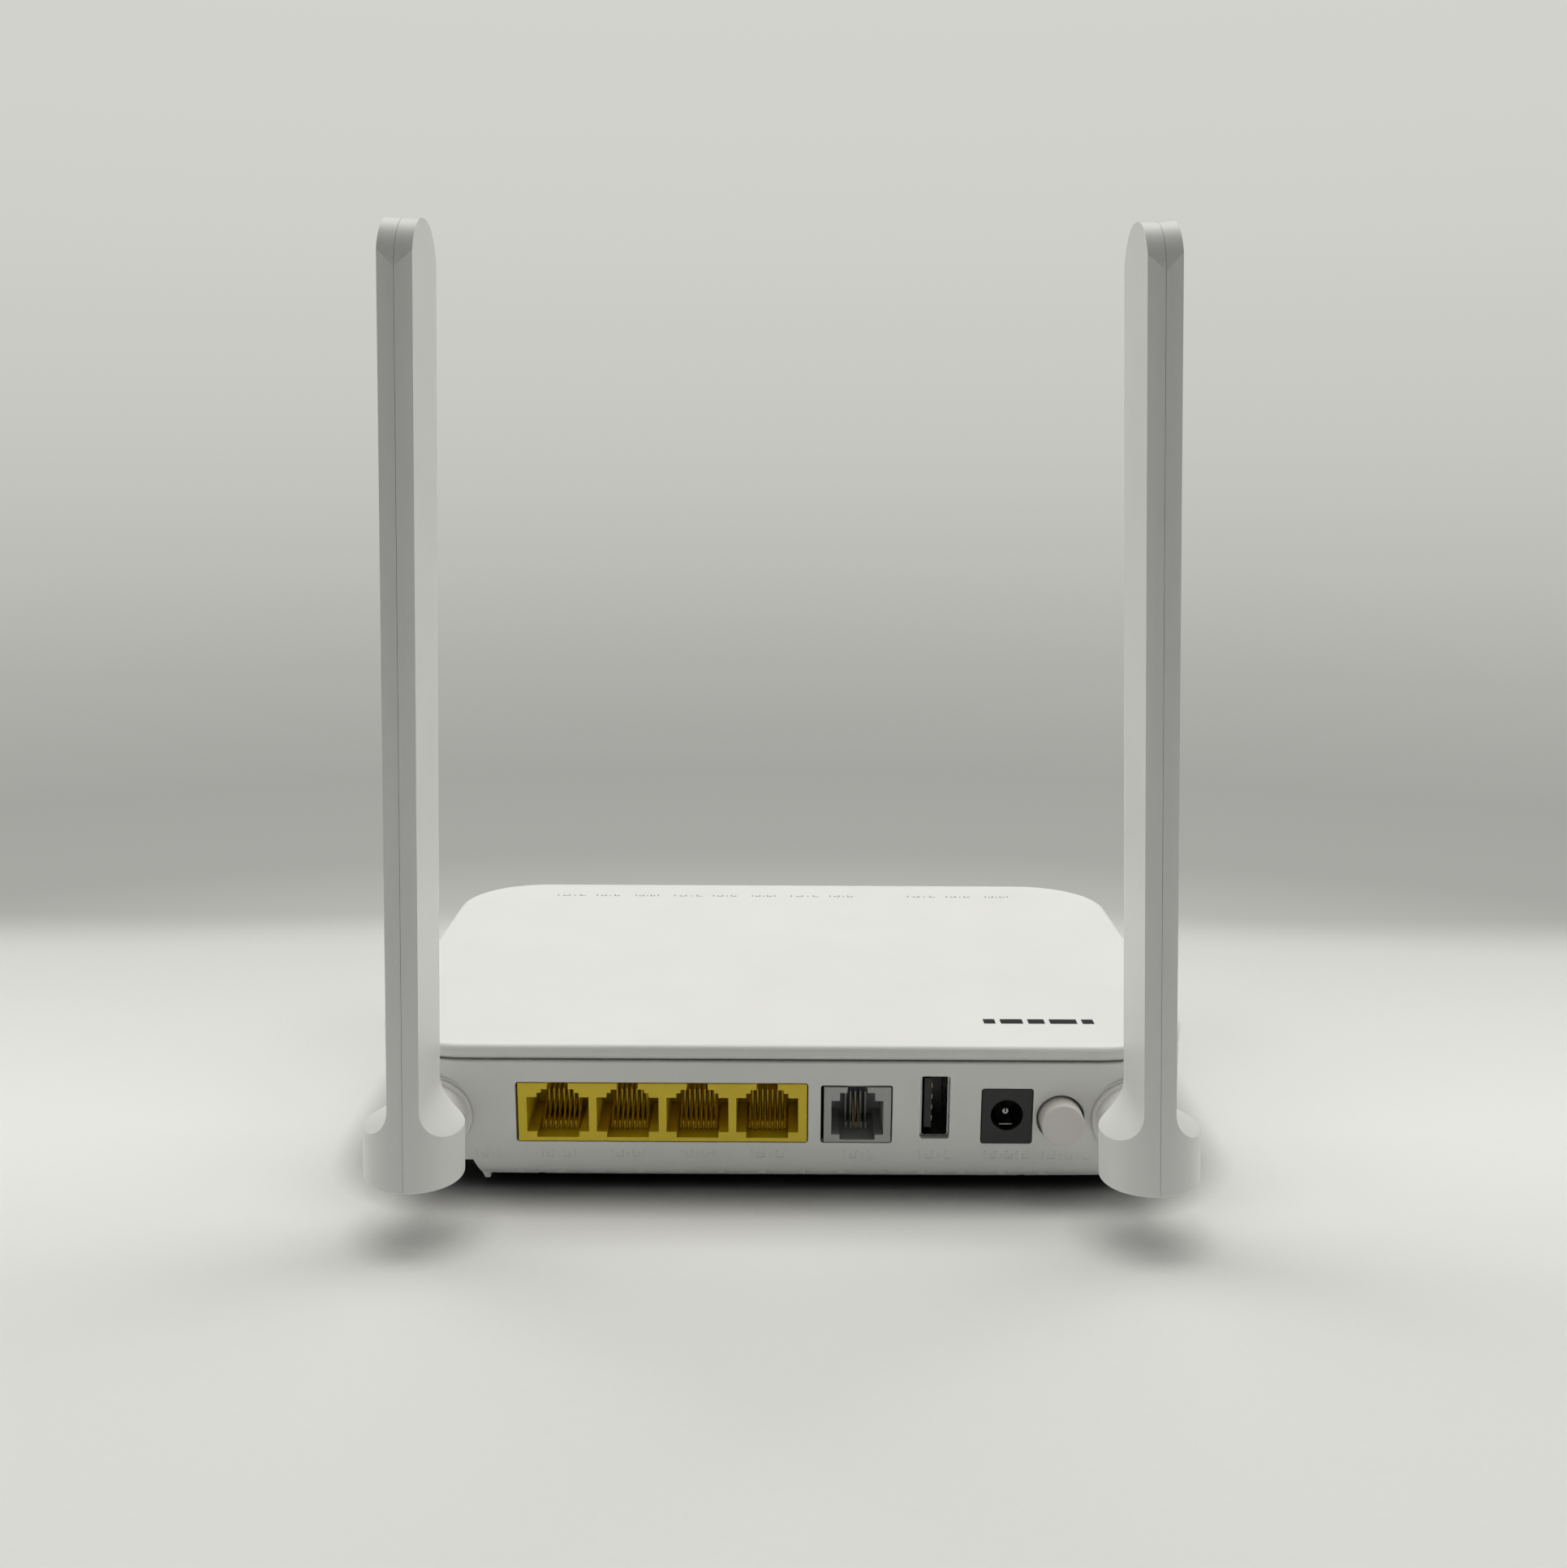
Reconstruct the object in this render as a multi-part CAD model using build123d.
from build123d import *
import os

# Optical network terminal. Millimetres, +Z up. The port panel faces -Y, the indicator front +Y.
# Shapes are drawn about the centre of the case's footprint on the resting plane. When a piece is
# written, it is moved so that the origin is the centre of the whole unit's outline on that plane.

# ---- Driving dimensions: case ----
body_width = 166.5
body_depth = 118.0
foot_height = 2.0
case_top = 30.9
front_corner = 20.0
rear_corner = 20.0
wall = 2.2
roof = 2.0
lower_edge_radius = 4.0
bow_radius = 2000.0
lid_edge_radius = 1.3
lid_undercut = 0.9
rim_edge_radius = 0.3
rim_top = 27.45
lid_bottom = 27.75
lip_bottom = 25.6
lip_thickness = 1.2
lip_gap = 0.15

# ---- Derived case places ----
case_bottom = foot_height
floor_top = case_bottom + wall
panel_y = -body_depth / 2
panel_inner_y = panel_y + wall
front_y = body_depth / 2
side_x = body_width / 2
lid_roof_z = case_top - roof
port_face_y = panel_y + 0.1

# ---- Driving dimensions: circuit board ----
board_top = 10.5
board_thickness = 1.6
board_margin = 3.2
board_bottom = board_top - board_thickness
case_screw_places = [(-60.0, 38.0), (60.0, 38.0), (-54.5, -30.0), (60.0, -34.0)]
board_screw_places = [(-20.0, 42.0), (42.0, 42.0), (26.0, -36.0)]
case_boss_top = 12.0
case_boss_radius = 3.5
case_screw_radius = 1.2
board_screw_radius = 1.0
screw_hole_gap = 0.02

# ---- Driving dimensions: sockets on the rear panel ----
lan_centre_x = -23.9
lan_pitch = 13.97
lan_count = 4
lan_width = 57.8
lan_height = 12.3
lan_depth = 21.0
lan_cavity_depth = 15.0
contact_pitch = 1.02
contact_size = 0.36
comb_rib = 0.32
latch_notch_depth = 1.4
lan_positions = 8
# Each level of a socket mouth is its width, its lower edge and its upper edge above the board.
lan_mouth = [
    (12.4, 2.0, 9.3),
    (8.4, 0.8, 10.25),
    (6.65, 10.2, 11.0),
    (4.2, 10.9, 11.9),
]
# A contact wire's tip, knee and tail, and a comb rib's two blocks, as depth from the socket's face
# and height above the board.
lan_wire = [(3.4, 1.3), (11.8, 6.2), (14.9, 6.5)]
lan_ribs = [((4.0, 5.0), (0.6, 2.5)), ((9.4, 15.1), (0.6, 7.2))]
# Gaps round a socket in its panel opening: left, right, below and above.
lan_gaps = (0.45, 0.25, 0.15, 0.25)
tel_gaps = (0.65, 0.3, 0.15, 0.45)
usb_gaps = (0.1, 0.1, 0.1, 0.1)
dc_gaps = (0.2, 0.2, 0.15, 0.2)
tel_centre_x = 15.1
tel_width = 13.4
tel_height = 11.7
tel_depth = 17.0
tel_cavity_depth = 13.0
tel_positions = 6
tel_wire_count = 2
tel_mouth = [
    (10.4, 1.6, 8.8),
    (7.05, 0.5, 10.5),
    (4.05, 10.4, 11.3),
]
tel_wire = [(4.8, 1.0), (9.8, 4.8), (12.9, 5.1)]
tel_ribs = [((5.4, 6.4), (0.3, 1.8)), ((9.0, 13.1), (0.3, 7.0))]
usb_centre_x = 30.6
usb_centre_z = 18.0
usb_width = 5.7
usb_height = 13.1
usb_depth = 13.0
usb_face_y = panel_y + 1.2
usb_wall = 0.3
usb_corner = 0.8
usb_tongue_thickness = 1.5
usb_tongue_offset = -1.25
dc_centre_x = 45.0
dc_width = 10.0
dc_height = 11.4
dc_depth = 13.5
dc_hole_radius = 3.22
dc_hole_depth = 9.5
dc_hole_z = 16.4
dc_pin_radius = 0.8
dc_pin_recess = 2.0
dc_leaf_drop = 2.65

# ---- Driving dimensions: buttons ----
power_x = 55.7
power_z = 15.9
power_cap_radius = 4.3
power_hole_radius = 4.83
power_proud = 3.9
power_travel = 2.5
power_switch_front_y = -50.0
side_button_z = 13.8
side_button_places = {"wlan": 6.0, "wps": 20.0}
reset_y = -8.0
side_button_length = 7.0
side_button_height = 3.2
side_button_gap = 0.2
reset_hole_radius = 0.8
side_button_proud = 0.6
side_switch_face_x = 78.5
side_plunger_radius = 1.2

# ---- Driving dimensions: antennas and their swivels ----
swivel_x = 69.5
swivel_z = 16.0
hinge_reach = 17.5
lean_left = 2.1
lean_right = -2.8
base_radius = 9.4
base_bottom = -3.9
scoop_low = 6.1
scoop_radius = 6.2
blade_thickness = 5.87
antenna_top = 168.1
tip_corner = 8.8
tip_edge = 0.7
base_edge = 0.5
blade_wall = 1.3
seam_gap = 0.06
slot_half_width = 4.1
slot_reach = 3.7
hinge_pin_radius = 1.25
hinge_pin_half_length = 7.5
arm_half_width = 3.9
arm_half_height = 3.0
barrel_radius = 3.5
hub_disc_radius = 7.6
hub_disc_thickness = 0.8
hub_shaft_radius = 4.9
hub_running_gap = 0.08
hub_boss_radius = 8.2
hub_boss_depth = 8.6
hub_dome_radius = 6.7
hub_dome_cut = 1.0
clip_thickness = 0.7
clip_radius = 6.8
clip_groove_depth = 0.9
cable_radius = 0.65
shaft_end_y = panel_y + hub_boss_depth + 1.3
cable_socket_places = {"left": (-54.0, -8.0), "right": (60.0, -14.0)}
# Points that each aerial cable passes between its hub and its socket on the board.
cable_paths = {
    "left": [
        (-swivel_x, shaft_end_y + 0.3, swivel_z),
        (-68.5, -46.0, 19.0),
        (-62.0, -32.0, 20.0),
        (-56.5, -14.0, 16.5),
        (-54.0, -8.0, board_top + 1.7),
    ],
    "right": [
        (swivel_x, shaft_end_y + 0.3, swivel_z),
        (69.0, -43.0, 17.5),
        (67.5, -34.0, 18.5),
        (63.0, -22.0, 17.5),
        (60.0, -14.0, board_top + 1.7),
    ],
}

# ---- Driving dimensions: fibre pocket under the case ----
pocket_x = (-79.0, -60.5)
pocket_y = (-44.5, 2.0)
pocket_ceiling = 15.0
pocket_wall = 1.5
notch_ceiling = 6.4
notch_right_top = -62.1
notch_right_bottom = -60.0
notch_left = -74.0
fibre_z = 9.0
fibre_x = -69.75
receptacle_width = 12.6
receptacle_height = 9.4
receptacle_depth = 14.0
sc_plug_width = 9.1
sc_plug_height = 7.5

# ---- Driving dimensions: underside and front ----
keyhole_spacing = 100.0
keyhole_y = 12.0
keyhole_entry_radius = 4.0
keyhole_slot_width = 4.2
keyhole_slot_length = 8.0
foot_radius = 5.0
foot_sink = 1.2
foot_places = [(-48.0, 40.0), (48.0, 40.0), (-46.0, -44.0), (50.0, -42.0)]
window_slots = 12
empty_window_slot = 8
window_pitch = 10.26
window_width = 3.0
window_height = 1.2
window_z = 23.5
dimple_pitch = 8.1
label_sink = 0.45

# ---- Driving dimensions: parts on the board ----
processor_place = (5.0, 4.0)
processor_height = 1.6
pad_height = 0.5
led_y = 47.0

# ---- Where the origin lies: the centre of the whole unit's outline ----
case_centre_x = -side_button_proud / 2
case_centre_y = (hinge_reach + base_radius) / 2

upward = (Align.CENTER, Align.CENTER, Align.MIN)


def block(x_span, y_span, z_span):
    """Box between two values on each axis."""
    spans = [sorted(span) for span in (x_span, y_span, z_span)]
    centre = [(low + high) / 2 for low, high in spans]
    size = [high - low for low, high in spans]
    return Pos(*centre) * Box(*size)


def rod(radius, start, end):
    """Round bar between two points."""
    path = Vector(*end) - Vector(*start)
    return Plane(origin=start, z_dir=path) * Cylinder(radius, path.length, align=upward)


def bar(size, start, end):
    """Square bar between two points that share an X value."""
    path = Vector(*end) - Vector(*start)
    return Plane(origin=start, x_dir=(1, 0, 0), z_dir=path) * Box(size, size, path.length, align=upward)


def spread(count, pitch):
    """Offsets of evenly spaced items about zero."""
    return [(index - (count - 1) / 2) * pitch for index in range(count)]


def rear_window(x, z, width, height, corner, y, depth):
    """Rounded rectangular prism that runs inward from a given depth of the rear panel."""
    plane = Plane(origin=(x, y, z), x_dir=(1, 0, 0), z_dir=(0, 1, 0))
    return extrude(plane * RectangleRounded(width, height, corner), depth)


def case_outline(inset):
    """Plan outline of the case, drawn in from its outer face."""
    outline = Rectangle(body_width - 2 * inset, body_depth - 2 * inset)
    outline = fillet(outline.vertices().group_by(Axis.Y)[-1], front_corner - inset)
    return fillet(outline.vertices().group_by(Axis.Y)[0], rear_corner - inset)


def prism(inset, low, high):
    """Case outline carried from one height to another."""
    return extrude(Pos(0, 0, low) * case_outline(inset), high - low)


def save(name, shape):
    """Write one sub-part in the unit's frame."""
    export_step(Pos(case_centre_x, case_centre_y, 0) * shape, f"parts/{name}.step")


# ---- Case ----


def make_top_cover():
    """Lid: flat roof, rounded top edge, undercut lower edge, inner lip and four screw posts."""
    cover = prism(0, lid_bottom, case_top)
    cover = fillet(cover.faces().sort_by(Axis.Z)[-1].edges(), lid_edge_radius)
    cover = chamfer(cover.faces().sort_by(Axis.Z)[0].edges(), lid_undercut)
    lip_outer = wall + lip_gap
    lip_inner = lip_outer + lip_thickness
    cover += prism(lip_outer, lip_bottom, lid_bottom)
    cover -= prism(lip_inner, lip_bottom, lid_roof_z)
    post_bottom = case_boss_top + 0.05
    post_radius = 3.2
    pilot_top = 24.0
    for x, y in case_screw_places:
        cover += rod(post_radius, (x, y, post_bottom), (x, y, lid_roof_z))
        cover -= rod(case_screw_radius + screw_hole_gap, (x, y, post_bottom), (x, y, pilot_top))
    return cover


def fibre_pocket_walls():
    """Walls round the downward-open pocket that hides the fibre plug, and the low exit channel."""
    left, right = pocket_x
    back, front = pocket_y
    tall = block(
        (left - pocket_wall, right + pocket_wall),
        (back - pocket_wall, front),
        (case_bottom, pocket_ceiling + pocket_wall),
    )
    low = block(
        (left - pocket_wall, right + pocket_wall),
        (panel_y, back),
        (case_bottom, notch_ceiling + pocket_wall),
    )
    return (tall + low) & prism(wall / 2, case_bottom, rim_top)


def fibre_pocket_space():
    """Hollow of the fibre pocket with its sloped notch in the rear lower edge."""
    left, right = pocket_x
    back, front = pocket_y
    below = case_bottom - 1.0
    tall = block((left, right), (back, front + 1.0), (below, pocket_ceiling))
    corners = [
        (notch_left, below),
        (notch_left, notch_ceiling),
        (notch_right_top, notch_ceiling),
        (notch_right_bottom, case_bottom),
        (notch_right_bottom, below),
    ]
    plane = Plane(origin=(0, panel_y - 1.0, 0), x_dir=(1, 0, 0), z_dir=(0, -1, 0))
    notch = extrude(plane * make_face(Polyline(*corners, close=True)), -(back - panel_y + 1.5))
    return tall + notch


def receptacle_seat():
    """Opening in the pocket's front wall that the fibre receptacle fills."""
    half = receptacle_width / 2 + 0.1
    rise = receptacle_height / 2 + 0.1
    _, front = pocket_y
    return block(
        (fibre_x - half, fibre_x + half),
        (front - 1.0, front + pocket_wall + 1.0),
        (fibre_z - rise, fibre_z + rise),
    )


def rear_openings():
    """Cutters for every opening in the rear panel."""
    depth = wall + 2.0
    start = panel_y - 1.0
    sockets = [
        (lan_centre_x, board_top, lan_width, lan_height, lan_gaps),
        (tel_centre_x, board_top, tel_width, tel_height, tel_gaps),
        (usb_centre_x, usb_centre_z - usb_height / 2, usb_width, usb_height, usb_gaps),
        (dc_centre_x, board_top, dc_width, dc_height, dc_gaps),
    ]
    corner = 0.6
    cut = []
    for x, low_z, width, height, (left, right, below, above) in sockets:
        middle_x = x + (right - left) / 2
        middle_z = low_z + (height + above - below) / 2
        size = (width + left + right, height + below + above)
        cut.append(rear_window(middle_x, middle_z, *size, corner, start, depth))
    cut.append(rod(power_hole_radius, (power_x, start, power_z), (power_x, start + depth, power_z)))
    return cut


def hub_bosses(side):
    """Flat round boss that carries one antenna swivel at a rear corner, and its bore."""
    x = side * swivel_x
    inner_y = panel_y + hub_boss_depth
    boss = rod(hub_boss_radius, (x, panel_y, swivel_z), (x, inner_y, swivel_z))
    bore = rod(
        hub_shaft_radius + hub_running_gap,
        (x, panel_y - 1.0, swivel_z),
        (x, inner_y + 1.0, swivel_z),
    )
    return boss, bore


def keyholes():
    """Two wall-mount keyholes: a round entry and a narrow slot towards +Y."""
    cut = []
    for x in (-keyhole_spacing / 2, keyhole_spacing / 2):
        cut.append(rod(keyhole_entry_radius, (x, keyhole_y, 0), (x, keyhole_y, floor_top + 1.0)))
        slot_end = keyhole_y + keyhole_slot_length
        half = keyhole_slot_width / 2
        cut.append(block((x - half, x + half), (keyhole_y, slot_end), (0, floor_top + 1.0)))
        cut.append(rod(half, (x, slot_end, 0), (x, slot_end, floor_top + 1.0)))
    return cut


def floor_vents():
    """Field of rounded cooling slots through the floor."""
    slot_length = 12.0
    slot_width = 2.0
    rows = 3
    row_pitch = 15.0
    columns = 7
    column_pitch = 9.0
    field_x = -4.0
    field_y = -14.0
    slot = SlotOverall(slot_length, slot_width, rotation=90)
    cut = []
    for x in spread(columns, column_pitch):
        for y in spread(rows, row_pitch):
            cut.append(extrude(Pos(field_x + x, field_y + y, 0) * slot, floor_top + 1.0))
    return cut


def edge_dimples():
    """Two staggered rows of shallow oval dimples in the rear lower edge."""
    oval = SlotOverall(1.8, 0.9)
    # Each row: how far in from the panel, how high the dimples reach and how many there are.
    rows = ((0.65, 4.3, 14), (1.65, 3.3, 13))
    cut = []
    for inset, top, count in rows:
        for x in spread(count, dimple_pitch):
            cut.append(extrude(Pos(x, panel_y + inset, 0) * oval, top))
    return cut


def underside_bow():
    """Very wide drum that trims the underside, so that the lower edge rises towards the sides."""
    centre_z = case_bottom + bow_radius
    return rod(bow_radius, (0, panel_y - 1.0, centre_z), (0, front_y + 1.0, centre_z))


def make_bottom_case():
    """Lower shell with its panel openings, bosses, fibre pocket, vents and keyholes."""
    shell = prism(0, case_bottom, rim_top)
    shell = fillet(shell.faces().sort_by(Axis.Z)[0].edges(), lower_edge_radius)
    shell = fillet(shell.faces().sort_by(Axis.Z)[-1].edges(), rim_edge_radius)
    shell &= underside_bow()
    shell -= prism(wall, floor_top + 1.2, rim_top + 1.0)
    shell -= prism(wall + 2.0, floor_top, floor_top + 1.3)
    for side in (-1, 1):
        boss, _ = hub_bosses(side)
        shell += boss
    shell += fibre_pocket_walls()
    for x, y in case_screw_places:
        shell += rod(case_boss_radius, (x, y, case_bottom + 0.5), (x, y, case_boss_top))
    for x, y in board_screw_places:
        shell += rod(3.0, (x, y, case_bottom + 0.5), (x, y, board_bottom))
    cut = rear_openings() + keyholes() + floor_vents() + edge_dimples()
    cut += [hub_bosses(side)[1] for side in (-1, 1)]
    cut += [fibre_pocket_space(), receptacle_seat()]
    cut += front_windows() + side_openings() + underside_recesses()
    for tool in cut:
        shell -= tool
    return shell


def window_places():
    """X of each indicator window; one slot of the evenly spaced row is left out."""
    slots = enumerate(spread(window_slots, window_pitch))
    return [x for index, x in slots if index != empty_window_slot]


def front_windows():
    """Row of small windows in the front wall for the indicator light guide."""
    start = front_y - wall - 1.0
    rise = window_height / 2 + 0.1
    half = window_width / 2 + 0.1
    return [
        block((x - half, x + half), (start, front_y + 1.0), (window_z - rise, window_z + rise))
        for x in window_places()
    ]


def side_openings():
    """Slots for the two side buttons and the reset pinhole, in the right wall."""
    plane_x = side_x - wall - 1.0
    cut = []
    for y in side_button_places.values():
        plane = Plane(origin=(plane_x, y, side_button_z), x_dir=(0, 1, 0), z_dir=(1, 0, 0))
        length = side_button_length + 2 * side_button_gap
        height = side_button_height + 2 * side_button_gap
        cut.append(extrude(plane * SlotOverall(length, height), wall + 2.0))
    start = (plane_x, reset_y, side_button_z)
    cut.append(rod(reset_hole_radius, start, (side_x + 1.0, reset_y, side_button_z)))
    return cut


def underside_recesses():
    """Screw counterbores and holes, foot recesses and the shallow label recess."""
    head_seat = 6.0
    head_hole = 2.8
    shank_hole = 1.4
    cut = []
    for x, y in case_screw_places:
        cut.append(rod(head_hole, (x, y, 0), (x, y, head_seat)))
        cut.append(rod(shank_hole, (x, y, 0), (x, y, case_boss_top + 1.0)))
    for x, y in board_screw_places:
        hole = board_screw_radius + screw_hole_gap
        cut.append(rod(hole, (x, y, floor_top), (x, y, board_bottom + 1.0)))
    for x, y in foot_places:
        cut.append(rod(foot_radius + 0.1, (x, y, 0), (x, y, case_bottom + foot_sink)))
    cut.append(block((-34.0, 30.0), (20.0, 50.0), (0, case_bottom + label_sink)))
    return cut


def make_blank_label():
    """Plain label sheet in its recess under the case."""
    sheet = 0.15
    plan = Pos(-2.0, 35.0, case_bottom + label_sink - sheet) * RectangleRounded(63.4, 29.4, 1.5)
    return extrude(plan, sheet)


def make_rubber_feet():
    """Four round feet with a softened lower edge."""
    feet = []
    for x, y in foot_places:
        foot = rod(foot_radius, (x, y, 0), (x, y, case_bottom + foot_sink))
        feet.append(fillet(foot.edges().sort_by(Axis.Z)[0], 0.5))
    return Part() + feet


def screw(x, y, head_low, head_high, shank_end, head_radius, shank_radius, recess_below):
    """Pan-head screw with a cross recess; its head sits between two heights."""
    form = rod(head_radius, (x, y, head_low), (x, y, head_high))
    outer = head_low if recess_below else head_high
    form = fillet(form.edges().filter_by(GeomType.CIRCLE).sort_by(Axis.Z)[0 if recess_below else -1], 0.4)
    form += rod(shank_radius, (x, y, min(head_low, shank_end)), (x, y, max(head_high, shank_end)))
    depth = 0.9
    arm = head_radius * 0.6
    low, high = (outer, outer + depth) if recess_below else (outer - depth, outer)
    form -= block((x - arm, x + arm), (y - 0.25, y + 0.25), (low, high))
    form -= block((x - 0.25, x + 0.25), (y - arm, y + arm), (low, high))
    return form


def make_case_screws():
    """Four screws that enter from below and hold the lid."""
    return Part() + [
        screw(x, y, 4.2, 5.95, 22.0, 2.6, case_screw_radius, True) for x, y in case_screw_places
    ]


def make_board_screws():
    """Three screws that hold the circuit board."""
    return Part() + [
        screw(x, y, board_top, board_top + 1.6, floor_top + 0.6, 2.2, board_screw_radius, False)
        for x, y in board_screw_places
    ]


# ---- Circuit board and what sits on it ----


def make_main_board():
    """Board with clearances for the fibre pocket, swivels and screw posts."""
    board = prism(board_margin, board_bottom, board_top)
    heights = (board_bottom - 1.0, board_top + 1.0)
    board -= block((-side_x, pocket_x[1] + pocket_wall + 1.0), (panel_y, 33.0), heights)
    board -= block((61.5, side_x), (panel_y, -48.0), heights)
    board -= block((-side_x, side_x), (panel_y, panel_inner_y + 1.0), heights)
    for x, y in case_screw_places:
        board -= rod(4.0, (x, y, heights[0]), (x, y, heights[1]))
    for x, y in board_screw_places:
        board -= rod(1.3, (x, y, heights[0]), (x, y, heights[1]))
    return board


def socket_space(x, mouth, depth):
    """Stepped mouth of a modular socket, with a latch notch open at the top of its face."""
    start = port_face_y - 1.0
    levels = [
        block(
            (x - width / 2, x + width / 2),
            (start, port_face_y + depth),
            (board_top + low, board_top + high),
        )
        for width, low, high in mouth
    ]
    half, latch_low = mouth[-1][0] / 2, mouth[-1][1]
    span = (start, port_face_y + latch_notch_depth)
    notch = block((x - half, x + half), span, (board_top + latch_low, board_top + lan_height + 1.0))
    return Part() + levels + notch


def comb(x, positions, ribs):
    """Thin ribs that keep the contact wires of a modular socket apart."""
    half = comb_rib / 2
    return [
        block(
            (x + offset - half, x + offset + half),
            (port_face_y + front, port_face_y + back),
            (board_top + low, board_top + high),
        )
        for offset in spread(positions - 1, contact_pitch)
        for (front, back), (low, high) in ribs
    ]


def lan_port_places():
    """Centres of the four network sockets."""
    return [lan_centre_x + offset for offset in spread(lan_count, lan_pitch)]


def make_lan_housing():
    """Four network sockets moulded as one body."""
    housing = block(
        (lan_centre_x - lan_width / 2, lan_centre_x + lan_width / 2),
        (port_face_y, port_face_y + lan_depth),
        (board_top, board_top + lan_height),
    )
    ribs = []
    for x in lan_port_places():
        housing -= socket_space(x, lan_mouth, lan_cavity_depth)
        ribs += comb(x, lan_positions, lan_ribs)
    return housing + ribs


def spring_contact(x, wire):
    """Contact wire that rises from its tip in the mouth's lower slot to its tail at the back."""
    tip, knee, tail = [(x, port_face_y + depth, board_top + height) for depth, height in wire]
    return bar(contact_size, tip, knee) + bar(contact_size, knee, tail)


def make_lan_contacts():
    """Eight contact wires in each network socket."""
    return Part() + [
        spring_contact(x + offset, lan_wire)
        for x in lan_port_places()
        for offset in spread(lan_positions, contact_pitch)
    ]


def make_tel_housing():
    """Telephone socket body."""
    housing = block(
        (tel_centre_x - tel_width / 2, tel_centre_x + tel_width / 2),
        (port_face_y, port_face_y + tel_depth),
        (board_top, board_top + tel_height),
    )
    housing -= socket_space(tel_centre_x, tel_mouth, tel_cavity_depth)
    return housing + comb(tel_centre_x, tel_positions, tel_ribs)


def make_tel_contacts():
    """The two wired contacts of the telephone socket, in the middle positions."""
    return Part() + [
        spring_contact(tel_centre_x + offset, tel_wire) for offset in spread(tel_wire_count, contact_pitch)
    ]


def make_usb_shell():
    """Folded metal shell of the upright USB socket, with two board legs."""
    x, z = usb_centre_x, usb_centre_z
    shell = rear_window(x, z, usb_width, usb_height, usb_corner, usb_face_y, usb_depth)
    inner_corner = usb_corner - usb_wall
    inner = (usb_width - 2 * usb_wall, usb_height - 2 * usb_wall)
    shell -= rear_window(x, z, *inner, inner_corner, usb_face_y - 1.0, usb_depth + 2.0)
    low = z - usb_height / 2
    for y in (usb_face_y + 4.0, usb_face_y + 11.0):
        shell += block((x - 1.0, x + 1.0), (y - 0.6, y + 0.6), (board_top, low + 0.1))
    return shell


def make_usb_tongue():
    """Insulator: a block that closes the shell's back and the tongue that carries the contacts."""
    clear = usb_wall + 0.05
    back_low = usb_face_y + usb_depth - 3.0
    block_size = (usb_width - 2 * clear, usb_height - 2 * clear)
    body = rear_window(usb_centre_x, usb_centre_z, *block_size, 0.4, back_low, 3.0)
    middle = usb_centre_x + usb_tongue_offset
    half = usb_tongue_thickness / 2
    tongue = block(
        (middle - half, middle + half),
        (usb_face_y + 1.2, back_low),
        (usb_centre_z - 5.3, usb_centre_z + 5.3),
    )
    return body + tongue


def make_usb_contacts():
    """Four flat contacts on the tongue's open side."""
    face = usb_centre_x + usb_tongue_offset + usb_tongue_thickness / 2
    back = usb_face_y + usb_depth - 3.0
    return Part() + [
        block((face, face + 0.15), (usb_face_y + 1.8, back), (z - 0.5, z + 0.5))
        for z in (usb_centre_z + offset for offset in spread(4, 2.33))
    ]


def make_dc_jack_body():
    """Power socket body with its round hole."""
    body = block(
        (dc_centre_x - dc_width / 2, dc_centre_x + dc_width / 2),
        (port_face_y, port_face_y + dc_depth),
        (board_top, board_top + dc_height),
    )
    hole_end = (dc_centre_x, port_face_y + dc_hole_depth, dc_hole_z)
    return body - rod(dc_hole_radius, (dc_centre_x, port_face_y - 1.0, dc_hole_z), hole_end)


def make_dc_jack_pin():
    """Split centre pin of the power socket."""
    tip_y = port_face_y + dc_pin_recess
    root_y = port_face_y + dc_hole_depth
    pin = rod(dc_pin_radius, (dc_centre_x, tip_y, dc_hole_z), (dc_centre_x, root_y, dc_hole_z))
    pin = fillet(pin.edges().sort_by(Axis.Y)[0], 0.35)
    half_slit = 0.12
    return pin - block(
        (dc_centre_x - half_slit, dc_centre_x + half_slit),
        (tip_y - 1.0, tip_y + 4.0),
        (dc_hole_z - 0.2, dc_hole_z + 2.0),
    )


def make_dc_jack_spring():
    """Leaf contact along the bottom of the power socket's hole."""
    low = dc_hole_z - dc_leaf_drop
    back = port_face_y + dc_hole_depth
    return block((dc_centre_x - 1.4, dc_centre_x + 1.4), (port_face_y + 1.4, back), (low, low + 0.3))


def chip(x, y, width, depth, height, low=board_top):
    """Packaged component: a block with slightly broken upper edges."""
    body = block((x - width / 2, x + width / 2), (y - depth / 2, y + depth / 2), (low, low + height))
    return chamfer(body.faces().sort_by(Axis.Z)[-1].edges(), min(0.3, height / 4))


def make_processor():
    """Main system chip."""
    return chip(*processor_place, 19.0, 19.0, processor_height)


def make_thermal_pad():
    """Soft heat pad between the chip and the heatsink."""
    x, y = processor_place
    low = board_top + processor_height
    return block((x - 9.0, x + 9.0), (y - 9.0, y + 9.0), (low, low + pad_height))


def make_heatsink():
    """Finned block over the main chip."""
    x, y = processor_place
    half = 19.0
    low = board_top + processor_height + pad_height
    base = block((x - half, x + half), (y - half, y + half), (low, low + 2.0))
    fins = [
        block((x + offset - 0.6, x + offset + 0.6), (y - half, y + half), (low + 1.9, low + 8.0))
        for offset in spread(10, 4.1)
    ]
    return base + fins


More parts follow.
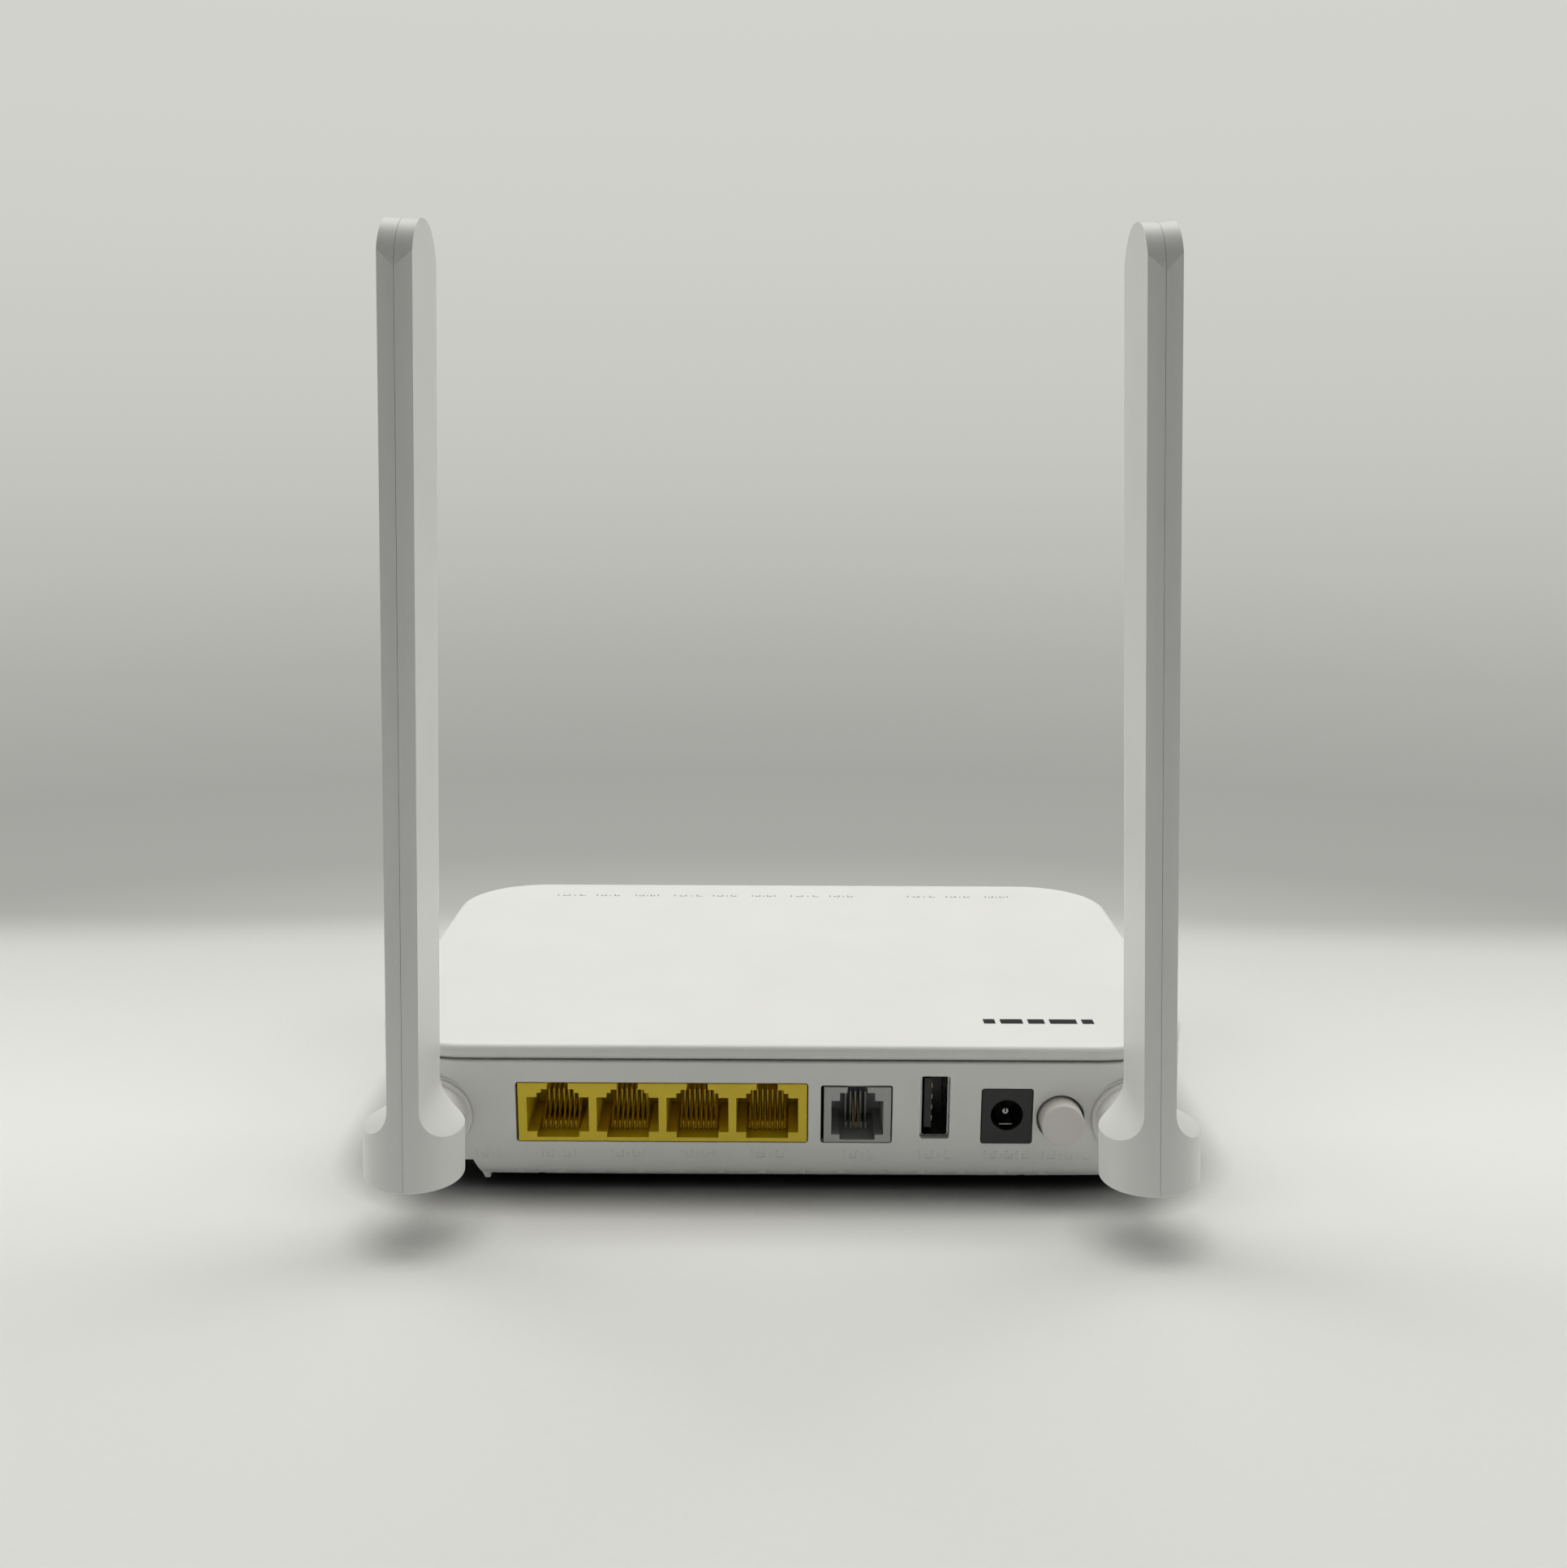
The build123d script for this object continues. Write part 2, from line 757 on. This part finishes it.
def make_support_chips():
    """Memory, radio control and telephone line chips."""
    places = [
        (-4.0, 33.0, 11.0, 8.0),
        (12.0, 33.0, 11.0, 8.0),
        (16.0, -30.0, 7.0, 7.0),
        (-20.0, 30.0, 8.0, 6.0),
    ]
    return Part() + [chip(x, y, width, depth, 1.0) for x, y, width, depth in places]


def make_shield_cans():
    """Two folded sheet covers over the radio circuits."""
    sheet = 0.3
    top = board_top + 3.2
    cans = []
    for x, y, half_x, half_y in ((47.0, 8.0, 13.0, 15.0), (-38.0, 12.0, 12.0, 13.0)):
        can = block((x - half_x, x + half_x), (y - half_y, y + half_y), (board_top, top))
        can = fillet(can.edges().filter_by(Axis.Z), 0.8)
        inner_x = half_x - sheet
        inner_y = half_y - sheet
        can -= block((x - inner_x, x + inner_x), (y - inner_y, y + inner_y), (0, top - sheet))
        cans.append(can)
    return Part() + cans


def make_lan_transformers():
    """Two isolating transformer blocks behind the network sockets."""
    return Part() + [chip(x, -31.0, 17.0, 9.0, 6.0) for x in (-38.0, -14.0)]


def make_capacitors():
    """Three upright electrolytic capacitors by the power socket."""
    places = [(42.0, -36.0, 4.0, 11.0), (52.0, -30.0, 4.0, 11.0), (34.0, -26.0, 3.15, 7.0)]
    vent_half = 0.15
    vent_depth = 0.3
    cans = []
    for x, y, radius, height in places:
        top = board_top + height
        can = rod(radius, (x, y, board_top), (x, y, top))
        can = fillet(can.edges().sort_by(Axis.Z)[-1], 0.5)
        for half_x, half_y in ((radius / 2, vent_half), (vent_half, radius / 2)):
            can -= block((x - half_x, x + half_x), (y - half_y, y + half_y), (top - vent_depth, top))
        cans.append(can)
    return Part() + cans


def make_inductors():
    """Three square power inductors."""
    coils = []
    for x, y in ((43.0, -22.0), (24.0, -24.0), (64.0, -22.0)):
        coil = block((x - 3.5, x + 3.5), (y - 3.5, y + 3.5), (board_top, board_top + 3.4))
        coils.append(chamfer(coil.edges().filter_by(Axis.Z), 1.0))
    return Part() + coils


def make_indicator_leds():
    """One small indicator under each leg of the light guide."""
    return Part() + [
        block((x - 0.8, x + 0.8), (led_y - 0.5, led_y + 0.5), (board_top, board_top + 0.8))
        for x in window_places()
    ]


def make_light_guide():
    """Clear moulding: a leg over each indicator, bent forward to its window, and a tie bar."""
    legs = []
    half = window_width / 2
    low = board_top + 1.2
    rise = window_height / 2
    lens = (window_z - rise, window_z + rise)
    for x in window_places():
        legs.append(block((x - half, x + half), (led_y - 1.0, led_y + 1.0), (low, window_z + rise)))
        legs.append(block((x - half, x + half), (led_y - 1.0, front_y - 0.05), lens))
    reach = window_slots / 2 * window_pitch - window_pitch / 2 + half
    tie = block((-reach, reach), (led_y - 0.8, led_y + 0.8), (18.0, 20.0))
    return tie + legs


# ---- Fibre connection ----


def make_fibre_receptacle():
    """Square fibre receptacle whose mouth faces the pocket."""
    _, front = pocket_y
    mouth = front - 0.5
    back = mouth + receptacle_depth
    half = receptacle_width / 2
    rise = receptacle_height / 2
    body = block((fibre_x - half, fibre_x + half), (mouth, back), (fibre_z - rise, fibre_z + rise))
    plug_half = sc_plug_width / 2
    plug_rise = sc_plug_height / 2
    body -= block(
        (fibre_x - plug_half, fibre_x + plug_half),
        (mouth - 1.0, back - 1.5),
        (fibre_z - plug_rise, fibre_z + plug_rise),
    )
    key_half = 1.2
    body -= block(
        (fibre_x - key_half, fibre_x + key_half),
        (mouth - 1.0, back - 5.0),
        (fibre_z, fibre_z + plug_rise + 0.6),
    )
    return body - rod(1.62, (fibre_x, mouth, fibre_z), (fibre_x, back + 1.0, fibre_z))


def make_ferrule_sleeve():
    """Split alignment sleeve for the fibre ferrule."""
    back = pocket_y[1] - 0.5 + receptacle_depth
    start = (fibre_x, back - 9.0, fibre_z)
    end = (fibre_x, back - 0.1, fibre_z)
    sleeve = rod(1.6, start, end) - rod(1.25, start, end)
    half_slit = 0.15
    return sleeve - block(
        (fibre_x - half_slit, fibre_x + half_slit),
        (start[1] - 1.0, end[1] + 1.0),
        (fibre_z, fibre_z + 3.0),
    )


def make_optical_transceiver():
    """Two-way optical subassembly: stepped barrel, cube and side detector can."""
    start = pocket_y[1] - 0.5 + receptacle_depth
    barrel = rod(2.6, (fibre_x, start, fibre_z), (fibre_x, start + 5.0, fibre_z))
    cube = block(
        (fibre_x - 3.4, fibre_x + 3.4),
        (start + 4.5, start + 11.0),
        (fibre_z - 3.4, fibre_z + 3.4),
    )
    laser = rod(2.8, (fibre_x, start + 10.5, fibre_z), (fibre_x, start + 14.0, fibre_z))
    detector = rod(2.4, (fibre_x, start + 7.7, fibre_z), (fibre_x + 6.4, start + 7.7, fibre_z))
    return barrel + cube + laser + detector


# ---- Buttons and switches ----


def make_power_cap():
    """Round power button cap with a retaining flange and a socket for the plunger."""
    outer_y = panel_y - power_proud
    flange_y = panel_inner_y + 0.25
    flange_end = flange_y + 1.2
    cap = rod(power_cap_radius, (power_x, outer_y, power_z), (power_x, flange_end, power_z))
    cap = fillet(cap.edges().sort_by(Axis.Y)[0], 0.45)
    cap += rod(5.3, (power_x, flange_y, power_z), (power_x, flange_end, power_z))
    half = 1.52
    return cap - block(
        (power_x - half, power_x + half),
        (outer_y + 3.0, flange_end + 1.0),
        (power_z - half, power_z + half),
    )


def make_power_plunger():
    """Square plunger of the latching power switch."""
    half = 1.5
    start = panel_y - power_proud + 3.2
    return block(
        (power_x - half, power_x + half),
        (start, power_switch_front_y + 3.0),
        (power_z - half, power_z + half),
    )


def make_power_switch():
    """Body of the latching power switch, open for its plunger."""
    half = 4.0
    body = block(
        (power_x - half, power_x + half),
        (power_switch_front_y, power_switch_front_y + 12.0),
        (board_top, board_top + 10.0),
    )
    bore = 1.6
    return body - block(
        (power_x - bore, power_x + bore),
        (power_switch_front_y - 1.0, power_switch_front_y + 3.5 + power_travel),
        (power_z - bore, power_z + bore),
    )


def make_side_switches():
    """Three tactile switch bodies at the board's right edge."""
    bodies = []
    x_span = (side_switch_face_x - 4.5, side_switch_face_x)
    for y in (*side_button_places.values(), reset_y):
        body = block(x_span, (y - 3.0, y + 3.0), (board_top, board_top + 6.0))
        start = (side_switch_face_x - 2.0, y, side_button_z)
        body -= rod(side_plunger_radius + 0.05, start, (side_switch_face_x + 1.0, y, side_button_z))
        bodies.append(body)
    return Part() + bodies


def side_plunger(y):
    """Plunger of a tactile switch."""
    start = (side_switch_face_x - 1.3, y, side_button_z)
    return rod(side_plunger_radius, start, (side_switch_face_x + 1.6, y, side_button_z))


def side_cap(y):
    """Oval side button cap with its inner flange."""
    flange_outer = side_x - wall - 0.1
    flange_inner = flange_outer - 0.8
    plane = Plane(origin=(flange_inner, y, side_button_z), x_dir=(0, 1, 0), z_dir=(1, 0, 0))
    stem_length = side_x + side_button_proud - flange_inner
    stem = extrude(plane * SlotOverall(side_button_length, side_button_height), stem_length)
    stem = fillet(stem.faces().sort_by(Axis.X)[-1].edges(), 0.3)
    flange = extrude(plane * SlotOverall(side_button_length + 2.0, side_button_height + 2.0), 0.8)
    return stem + flange


# ---- Antennas ----


def antenna_form():
    """Upright antenna about its hinge: a round base scooped on both sides into a flat blade."""
    form = rod(base_radius, (0, 0, base_bottom), (0, 0, antenna_top))
    reach = base_radius + 1.0
    half = blade_thickness / 2
    for side in (-1, 1):
        scoop = block((side * half, side * reach), (-reach, reach), (scoop_low, antenna_top + 1.0))
        inner = scoop.edges().filter_by(Axis.Y).sort_by_distance((side * half, 0, scoop_low))[0]
        form -= fillet(inner, scoop_radius)
    side_view = Plane.YZ * Pos(0, (base_bottom + antenna_top) / 2) * Rectangle(
        2 * base_radius, antenna_top - base_bottom
    )
    side_view = fillet(side_view.vertices().group_by(Axis.Z)[-1], tip_corner)
    form &= extrude(side_view, reach, both=True)
    return fillet(form.faces().sort_by(Axis.Z)[0].edges(), base_edge)


def antenna_shell(side):
    """One half of the antenna housing, split at the blade's middle plane; the halves mirror each other."""
    half_inside = blade_thickness / 2 - blade_wall
    shell = antenna_form()
    shell -= block(
        (-slot_half_width, slot_half_width),
        (-slot_reach, base_radius + 1.0),
        (base_bottom - 1.0, slot_reach),
    )
    shell -= block((-half_inside, half_inside), (-6.4, 6.4), (slot_reach - 1.0, 162.0))
    shell -= block((-seam_gap / 2, 20.0), (-20.0, 20.0), (base_bottom - 1.0, antenna_top + 1.0))
    for z in (60.0, 120.0):
        shell += block((-half_inside - 0.1, -0.45), (-6.5, 6.5), (z - 1.0, z + 1.0))
    pin_reach = hinge_pin_half_length + 0.1
    shell -= rod(hinge_pin_radius + 0.01, (-pin_reach, 0, 0), (0, 0, 0))
    return mirror(shell, about=Plane.YZ) if side > 0 else shell


def hub_form():
    """Swivel hub: shaft through the panel, disc, half dome and the arm that holds the hinge pin."""
    disc_face = hinge_reach - hub_disc_thickness
    disc_back = hinge_reach - 0.1
    shaft_end = hinge_reach + hub_boss_depth + 1.3
    hub = rod(hub_disc_radius, (0, disc_face, 0), (0, disc_back, 0))
    hub = fillet(hub.edges().sort_by(Axis.Y)[0], 0.3)
    hub += rod(hub_shaft_radius, (0, disc_face, 0), (0, shaft_end, 0))
    clip_start = hinge_reach + hub_boss_depth + 0.05
    groove = rod(hub_shaft_radius + 1.0, (0, clip_start, 0), (0, clip_start + clip_thickness + 0.1, 0))
    groove -= rod(hub_shaft_radius - clip_groove_depth, (0, clip_start - 1, 0), (0, clip_start + 2, 0))
    hub -= groove
    dome = Pos(0, disc_face + 0.2, 0) * Sphere(hub_dome_radius)
    dome &= block((-8.0, 8.0), (disc_face - 8.0, disc_face + 0.2), (hub_dome_cut, 8.0))
    hub += dome
    hub += block((-arm_half_width, arm_half_width), (0, disc_face), (-arm_half_height, arm_half_height))
    hub += rod(barrel_radius, (-arm_half_width, 0, 0), (arm_half_width, 0, 0))
    hub -= rod(hinge_pin_radius + 0.05, (-5.0, 0, 0), (5.0, 0, 0))
    hub -= rod(cable_radius + 0.15, (0, 5.5, 0), (0, shaft_end + 1.0, 0))
    return hub - rod(cable_radius + 0.15, (0, 5.5, -cable_radius), (0, 5.5, 8.0))


def hub_clip():
    """Retaining clip on the hub's shaft inside the case."""
    start = hinge_reach + hub_boss_depth + 0.1
    end = start + clip_thickness
    clip = rod(clip_radius, (0, start, 0), (0, end, 0))
    clip -= rod(hub_shaft_radius - clip_groove_depth + 0.02, (0, start - 1.0, 0), (0, end + 1.0, 0))
    half_mouth = 3.0
    return clip - block((-half_mouth, half_mouth), (start - 1.0, end + 1.0), (-clip_radius - 1.0, 0))


def hub_cable():
    """Length of aerial cable inside the hub."""
    shaft_end = hinge_reach + hub_boss_depth + 1.3
    level = rod(cable_radius, (0, 5.5, 0), (0, shaft_end, 0))
    return level + rod(cable_radius, (0, 5.5, 0), (0, 5.5, arm_half_height))


def radiator():
    """Printed aerial strip inside the blade."""
    return block((-0.4, 0.4), (-5.5, 5.5), (30.0, 150.0))


def blade_cable():
    """Length of aerial cable from the hinge up to the printed strip."""
    return rod(cable_radius, (0, 0, 5.0), (0, 0, 29.9))


def board_cable(points):
    """Length of aerial cable from the hub to its socket on the board."""
    path = Spline(*points, tangents=[(0, 1, 0), (0, 0, -1)])
    return sweep(Plane(origin=path @ 0, z_dir=path % 0) * Circle(cable_radius), path=path)


def make_cable_sockets():
    """Miniature round coaxial sockets for the two aerial cables."""
    sockets = []
    for x, y in cable_socket_places.values():
        base = block((x - 1.5, x + 1.5), (y - 1.5, y + 1.5), (board_top, board_top + 0.4))
        sockets.append(base + rod(1.0, (x, y, board_top), (x, y, board_top + 1.0)))
    return Part() + sockets


def save_antenna(name, side, lean):
    """Write one antenna's pieces, leaned inward about the hub's axis."""
    place = Pos(side * swivel_x, panel_y - hinge_reach, swivel_z) * Rot(0, lean, 0)
    pin = rod(hinge_pin_radius, (-hinge_pin_half_length, 0, 0), (hinge_pin_half_length, 0, 0))
    save(f"{name}_swivel_hub", place * hub_form())
    save(f"{name}_hub_clip", place * hub_clip())
    save(f"{name}_hub_cable", place * hub_cable())
    save(f"{name}_hinge_pin", place * pin)
    save(f"{name}_antenna_inner_shell", place * antenna_shell(-side))
    save(f"{name}_antenna_outer_shell", place * antenna_shell(side))
    save(f"{name}_antenna_radiator", place * radiator())
    save(f"{name}_antenna_cable", place * blade_cable())
    save(f"{name}_board_cable", board_cable(cable_paths[name]))


def main():
    """Build and write every sub-part."""
    os.makedirs("parts", exist_ok=True)
    save("top_cover", make_top_cover())
    save("bottom_case", make_bottom_case())
    save("rubber_feet", make_rubber_feet())
    save("blank_label", make_blank_label())
    save("case_screws", make_case_screws())
    save("board_screws", make_board_screws())
    save("main_board", make_main_board())
    save("lan_jack_housing", make_lan_housing())
    save("lan_contacts", make_lan_contacts())
    save("tel_jack_housing", make_tel_housing())
    save("tel_contacts", make_tel_contacts())
    save("usb_shell", make_usb_shell())
    save("usb_tongue", make_usb_tongue())
    save("usb_contacts", make_usb_contacts())
    save("dc_jack_body", make_dc_jack_body())
    save("dc_jack_pin", make_dc_jack_pin())
    save("dc_jack_spring", make_dc_jack_spring())
    save("main_processor", make_processor())
    save("thermal_pad", make_thermal_pad())
    save("heatsink", make_heatsink())
    save("support_chips", make_support_chips())
    save("shield_cans", make_shield_cans())
    save("lan_transformers", make_lan_transformers())
    save("capacitors", make_capacitors())
    save("inductors", make_inductors())
    save("indicator_leds", make_indicator_leds())
    save("light_guide", make_light_guide())
    save("fibre_receptacle", make_fibre_receptacle())
    save("ferrule_sleeve", make_ferrule_sleeve())
    save("optical_transceiver", make_optical_transceiver())
    save("power_button_cap", make_power_cap())
    save("power_switch_plunger", make_power_plunger())
    save("power_switch_body", make_power_switch())
    save("side_switch_bodies", make_side_switches())
    for name, y in side_button_places.items():
        save(f"{name}_button_cap", side_cap(y))
        save(f"{name}_switch_plunger", side_plunger(y))
    save("reset_switch_plunger", side_plunger(reset_y))
    save("cable_sockets", make_cable_sockets())
    save_antenna("left", -1, lean_left)
    save_antenna("right", 1, lean_right)


main()
